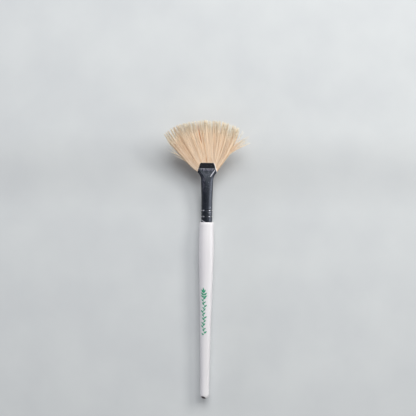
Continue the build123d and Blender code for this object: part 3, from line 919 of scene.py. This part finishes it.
def between(lower, upper, count, thick, pale, shortest):
    """Loose bristles filling the flat wedge between two lines of (x, z) points."""
    samples = 60
    low, high = smooth_path(lower, samples), smooth_path(upper, samples)
    t = np.linspace(0, 1, STEPS)
    paths = np.zeros((count, STEPS, 3))
    for i in range(count):
        share = (i + rng.uniform(0, 1)) / count
        reach = t * rng.uniform(shortest, 1.0) * (samples - 1)
        line_low, line_high = (
            np.column_stack([np.interp(reach, np.arange(samples), line[:, c]) for c in range(2)])
            for line in (low, high))
        line = line_low * (1 - share) + line_high * share
        wobble = 0.16 * rng.normal() * np.sin(3.0 * t + rng.uniform(0, 6)) * t
        paths[i, :, 0], paths[i, :, 2] = line[:, 0] - wobble * 0.5, line[:, 1] + wobble
        paths[i, :, 1] = rng.uniform(-0.55, 0.55) * (0.6 + 0.7 * t)
    tint = np.clip(rng.normal(pale, 0.16, count), 0, 1)
    radii = taper(STEPS, np.full(count, thick) * rng.uniform(0.85, 1.15, count), 0.45)
    return paths, radii, tint, rng.uniform(0, 0.5, count)


def joined(*groups):
    return [np.concatenate(parts) for parts in zip(*groups)]


LEFT_ROOT = [(-ROOT_X, ROOT_Z), (-5.4, 144.2), (-6.2, 145.1)]
RIGHT_ROOT = [(ROOT_X, ROOT_Z), (5.4, 144.2), (6.2, 145.2)]
STRAYS = [  # lock, count, spread, radius, shortest share, (x, z) line
    (0, 6, 0.6, 0.096, 0.80, LEFT_ROOT + [(-10.6, 149.3), (-14.6, 153.1), (-18.6, 155.5),
                                          (-22.6, 157.3), (-26.6, 159.1)]),
    (0, 6, 0.5, 0.096, 0.80, LEFT_ROOT + [(-10.6, 149.3), (-14.7, 153.2), (-19.3, 156.0),
                                          (-22.0, 158.6), (-24.6, 160.2)]),
    (0, 4, 0.4, 0.090, 0.80, LEFT_ROOT[:2] + [(-6.2, 145.0), (-10.4, 148.9), (-14.0, 151.9),
                                              (-18.2, 154.3), (-22.2, 156.2)]),
    (0, 7, 0.6, 0.094, 0.86, LEFT_ROOT + [(-12.0, 150.9), (-18.4, 156.9), (-24.8, 162.9),
                                          (-28.2, 167.2)]),
    (0, 6, 0.6, 0.090, 0.92, LEFT_ROOT + [(-12.0, 151.2), (-18.4, 157.9), (-24.6, 164.9),
                                          (-27.9, 169.2)]),
    (13, 3, 0.35, 0.090, 0.96, RIGHT_ROOT + [(11.7, 153.4), (16.9, 161.6), (20.0, 167.2),
                                             (22.6, 172.0)]),
    (13, 3, 0.30, 0.088, 0.94, RIGHT_ROOT + [(11.9, 153.4), (17.2, 161.6), (20.6, 167.0),
                                             (23.3, 171.0)]),
    (13, 3, 0.25, 0.084, 0.90, RIGHT_ROOT + [(9.2, 149.5), (12.4, 153.8), (14.6, 156.6),
                                             (18.5, 158.6)])]
WISP_LOW = RIGHT_ROOT + [(9.1, 149.7), (11.5, 153.3), (14.4, 156.9), (19.8, 160.3), (27.8, 164.0)]
WISP_HIGH = RIGHT_ROOT + [(9.0, 149.9), (12.4, 155.6), (15.8, 160.4), (20.4, 164.6), (26.6, 168.5)]


def build_locks():
    start, fan = fan_group()
    lock_of = np.minimum((start * LOCKS).astype(int), LOCKS - 1)
    extra = [(lock, strays(*settings)) for lock, *settings in STRAYS]
    for i in range(LOCKS):
        group = joined([part[lock_of == i] for part in fan],
                       *[loose for lock, loose in extra if lock == i])
        let_flex(tubes(f"bristles_lock_{i + 1:02d}", *group), f"bristle_lock_{i + 1:02d}")


def build_wisp():
    """The wisp sprung out on the right: a filled wedge with denser lower and upper edges."""
    wisp = joined(between(WISP_LOW, WISP_HIGH, count=36, thick=0.078, pale=0.62, shortest=0.84),
                  between(WISP_LOW, WISP_LOW, count=9, thick=0.080, pale=0.70, shortest=0.94),
                  between(WISP_HIGH, WISP_HIGH, count=7, thick=0.080, pale=0.80, shortest=0.90))
    let_flex(tubes("bristles_wisp_right", *wisp), "bristle_tuft_stray")


def build_roots():
    """Short close-packed bristles that fill the mouth among the free ones."""
    start = (np.arange(ROOTS) + rng.uniform(0, 1, ROOTS)) / ROOTS
    y = rng.uniform(-0.88, 0.88, ROOTS) * np.where((start < 0.2) | (start > 0.8), 0.7, 1.0)
    paths = fan_paths(start, tip=np.clip(start + rng.normal(0, 0.004, ROOTS), 0, 1),
                      length=np.full(ROOTS, 0.14) + rng.uniform(0, 0.08, ROOTS),
                      y_in=y, y_tip=y * 1.15, sway=np.zeros(ROOTS), phase=np.zeros(ROOTS), depth=6)
    x, y = paths[:, 0, 0], paths[:, 0, 1]
    low = np.column_stack([np.clip(x, -3.2, 3.2) * 0.62, y * 1.6,
                           np.full(ROOTS, 133.0) + rng.uniform(0, 1.0, ROOTS)])
    neck = np.column_stack([x * 0.72, y * 1.4, np.full(ROOTS, 139.2)])
    paths = np.concatenate([low[:, None], neck[:, None], paths], axis=1)
    ob = tubes("bristle_roots", paths, radii=np.full(paths.shape[:2], 0.074),
               tint=np.clip(0.45 + rng.normal(0, 0.14, ROOTS), 0, 1),
               lock=rng.uniform(0.1, 0.7, ROOTS),
               along=np.tile(np.linspace(0.0, 0.22, paths.shape[1]), (ROOTS, 1)))
    fix_still(ob, "bristle_knot")


build_locks()
build_wisp()
build_roots()

# ------------------------------------------------------------------ printed sprig on the handle
PRINT_X = -1.22                     # middle of the print, round the handle from the front
PRINT_LIFTS = (0.016, 0.006)        # outer and inner face of the film above the lacquer
VINE_FOOT, VINE_TOP = 40.9, 65.0
VINE_STEPS = 20
HEAD_LEAVES = [  # height above the vine, angle from straight up, length
    (0.0, -1.05, 2.7), (0.0, 1.0, 2.6), (1.4, -0.90, 2.9), (1.4, 0.90, 2.9), (2.9, -0.62, 2.7),
    (2.9, 0.62, 2.7), (2.9, -0.05, 3.5)]


def ribbon(points, widths, count):
    """Rows of five (x, z) points across a line; widths are half widths spread along it."""
    middle = smooth_path(points, count)
    half = np.interp(np.linspace(0, 1, count), np.linspace(0, 1, len(widths)), widths)
    normal = left_of(middle)
    return np.stack([middle + normal * (half * f)[:, None] for f in np.linspace(1, -1, 5)], axis=1)


def leaf(x, z, angle, size, fat):
    """Pointed leaf from (x, z), angle from straight up."""
    out, up = math.sin(angle), math.cos(angle)
    points = [(x, z), (x + out * size * 0.5 + 0.05 * size * up, z + up * size * 0.5),
              (x + out * size, z + up * size)]
    t = np.linspace(0, 1, 9)
    widths = 0.03 + fat * size * np.sin(np.pi * t ** 0.8) ** 1.2 * (1 - 0.25 * t)
    return ribbon(points, widths, 18)


def film(sheet, start):
    """Vertices and faces of a thin film laid on the handle, numbered from start."""
    rows, cols = sheet.shape[:2]
    n = rows * cols
    z = sheet[..., 1].ravel()
    radius = handle_radius(z)
    angle = (sheet[..., 0].ravel() + PRINT_X) / radius
    verts = [((radius[k] + lift) * math.sin(angle[k]), -(radius[k] + lift) * math.cos(angle[k]),
              z[k]) for lift in PRINT_LIFTS for k in range(n)]
    faces = []
    for i in range(rows - 1):
        for j in range(cols - 1):
            low, high = i * cols + j, (i + 1) * cols + j
            quad = [low, low + 1, high + 1, high]
            faces += [quad, [n + k for k in quad[::-1]]]
    border = (list(range(cols)) + [i * cols + cols - 1 for i in range(1, rows)]
              + [(rows - 1) * cols + j for j in range(cols - 2, -1, -1)]
              + [i * cols for i in range(rows - 2, 0, -1)])
    faces += [[b, a, n + a, n + b] for a, b in zip(border, border[1:] + border[:1])]
    return verts, [[start + k for k in face] for face in faces]


def build_print():
    """A vine with alternating leaves and an open sprig at its head."""
    vine = [(0.42 * math.sin(k * 0.95), VINE_FOOT + (VINE_TOP - VINE_FOOT) * k / VINE_STEPS)
            for k in range(VINE_STEPS + 1)]
    sheets = [ribbon(vine, [0.10, 0.17, 0.19, 0.17, 0.15], 160)]
    for k, (x, z) in enumerate(vine[:-1]):
        side = 1 if k % 2 else -1
        sheets.append(leaf(x + 0.06 * side, z - 0.1, angle=side * (0.78 + 0.12 * math.sin(k * 2.3)),
                           size=2.05 + 0.30 * math.sin(k * 1.7), fat=0.245))
    x, z = vine[-1]
    sheets.append(ribbon([(x, z - 0.2), (x - 0.25, z + 1.6), (x - 0.5, z + 3.0)],
                         [0.15, 0.13, 0.10], 20))
    for up, angle, size in HEAD_LEAVES:
        sheets.append(leaf(x - 0.16 * up, z - 0.1 + up, angle, size, fat=0.225))
    verts, faces = [], []
    for sheet in sheets:
        more_verts, more_faces = film(sheet, len(verts))
        verts += more_verts
        faces += more_faces
    uv = [((verts[k][0] + 5) / 10, verts[k][2] / 120) for face in faces for k in face]
    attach(new_mesh("handle_print", verts, faces, GREEN, uv), STILL)


build_print()


# ------------------------------------------------------------------ floor
def floor_material():
    """Pale sheet, clear from behind, to shadow rays and where the camera sees it face on."""
    mat = Shader("pale_floor")
    base = mat.ramp(mat.noise(scale=30.0, detail=3.0, rough=0.5),
                    (0.3, srgb(198, 201, 202)), (0.7, srgb(204, 207, 207)))
    # painted shade: the sheet is darker where it tilts up to the lights, cancelling the extra light
    # it catches there
    tilt_shade = mat.axes(mat.add("NewGeometry").outputs["Normal"])["Z"]
    base = mat.mix(mat.span(tilt_shade, to=(0.0, 0.42), over=(0.0, 0.6)), base, (0.05, 0.05, 0.05))
    mat.surface({"Base Color": base, "Roughness": 0.85, "Specular IOR Level": 0.1})
    geometry = mat.add("NewGeometry").outputs
    rays = mat.add("LightPath").outputs
    facing = mat.add("VectorMath", operation="DOT_PRODUCT")
    mat.feed(facing.inputs[0], geometry["Incoming"])
    mat.feed(facing.inputs[1], geometry["Normal"])
    seen = mat.times(mat.span(facing.outputs["Value"], to=(1.0, 0.0), over=(0.22, 0.38)),
                     rays["Is Camera Ray"])
    hidden = mat.maths("MAXIMUM", geometry["Backfacing"], rays["Is Shadow Ray"])
    mixed = mat.add("MixShader")
    parts = (mat.maths("MAXIMUM", hidden, seen), mat.body.outputs[0],
             mat.add("BsdfTransparent").outputs[0])
    for socket, value in zip(mixed.inputs, parts):
        mat.feed(socket, value)
    mat.feed(mat.tree.nodes["Material Output"].inputs["Surface"], mixed.outputs[0])
    return mat.material


def build_floor():
    """Upright sheet close behind the handle, further back behind the fan so it can flex."""
    near_y, step_back = 5.4, 13.8
    bend_low, bend_high = 116.0, 174.0
    half_width = 2200.0
    heights = [-2000.0, -300.0, 0.0, 100.0, *np.linspace(bend_low, bend_high, 41),
               190.0, 400.0, 2200.0]
    verts = [(x, near_y + step_back * ease(fade(z, bend_low, bend_high)), z)
             for z in heights for x in (-half_width, half_width)]
    faces = [(2 * k, 2 * k + 1, 2 * k + 3, 2 * k + 2) for k in range(len(heights) - 1)]
    new_mesh("floor", verts, faces, floor_material())


build_floor()

# ------------------------------------------------------------------ light and camera, in metres
CENTRE = Vector((0.00075, 0.0, 0.12193))


def build_world():
    """Soft cool light all round; the camera sees a plain pale wall past the sheet."""
    world = bpy.data.worlds.new("studio")
    scene.world = world
    world.use_nodes = True
    nodes, links = world.node_tree.nodes, world.node_tree.links
    glow, wall = nodes["Background"], nodes.new("ShaderNodeBackground")
    for shader, colour, strength in ((glow, (0.93, 0.95, 1.0), 0.30),
                                     (wall, srgb(214, 217, 218), 1.0)):
        shader.inputs["Color"].default_value = (*colour, 1)
        shader.inputs["Strength"].default_value = strength
    choose = nodes.new("ShaderNodeMixShader")
    rays = nodes.new("ShaderNodeLightPath").outputs
    for socket, value in zip(choose.inputs,
                             (rays["Is Camera Ray"], glow.outputs[0], wall.outputs[0])):
        links.new(value, socket)
    links.new(choose.outputs[0], nodes["World Output"].inputs["Surface"])


def area(name, azimuth, elevation, distance, size, watts, colour):
    """Area light aimed at the centre; azimuth in degrees from the front towards +X."""
    light = bpy.data.lights.new(name, "AREA")
    light.shape = "RECTANGLE"
    light.size, light.size_y = size
    light.energy = watts
    light.color = colour
    ob = bpy.data.objects.new(name, light)
    turn, lift = math.radians(azimuth), math.radians(elevation)
    away = Vector((math.sin(turn) * math.cos(lift), -math.cos(turn) * math.cos(lift),
                   math.sin(lift)))
    ob.location = CENTRE + away * distance
    ob.rotation_mode = "QUATERNION"
    ob.rotation_quaternion = (-away).to_track_quat("-Z", "Y")
    scene.collection.objects.link(ob)
    return ob


def build_camera():
    lens = bpy.data.cameras.new("camera")
    lens.lens, lens.sensor_width = 100.0, 36.0
    lens.clip_start, lens.clip_end = 0.01, 20.0
    ob = bpy.data.objects.new("camera", lens)
    scene.collection.objects.link(ob)
    ob.rotation_mode = "QUATERNION"
    ob.location = CENTRE + Vector((0, -0.740, 0))
    roll = Matrix.Rotation(math.radians(0.68), 4, "Z").to_quaternion()
    ob.rotation_quaternion = Vector((0, 1, 0)).to_track_quat("-Z", "Y") @ roll
    scene.camera = ob


build_world()
area("key", azimuth=52, elevation=30, distance=0.95, size=(0.24, 0.60), watts=4.1,
     colour=(1.0, 0.985, 0.96))
side_light = area("side", azimuth=80, elevation=12, distance=0.90, size=(0.74, 0.70), watts=14.5,
                  colour=(0.93, 0.94, 1.0))
side_light.visible_diffuse = False      # only for highlights
area("fill", azimuth=-76, elevation=26, distance=1.0, size=(0.20, 0.60), watts=1.5,
     colour=(0.84, 0.84, 1.0))
area("front", azimuth=8, elevation=40, distance=1.0, size=(0.8, 0.7), watts=8.7,
     colour=(1.0, 1.0, 1.0))
area("back", azimuth=180, elevation=30, distance=1.3, size=(1.2, 1.0), watts=7.0,
     colour=(1.0, 1.0, 1.0))
build_camera()
scene.view_settings.view_transform = "Standard"
scene.view_settings.look = "None"
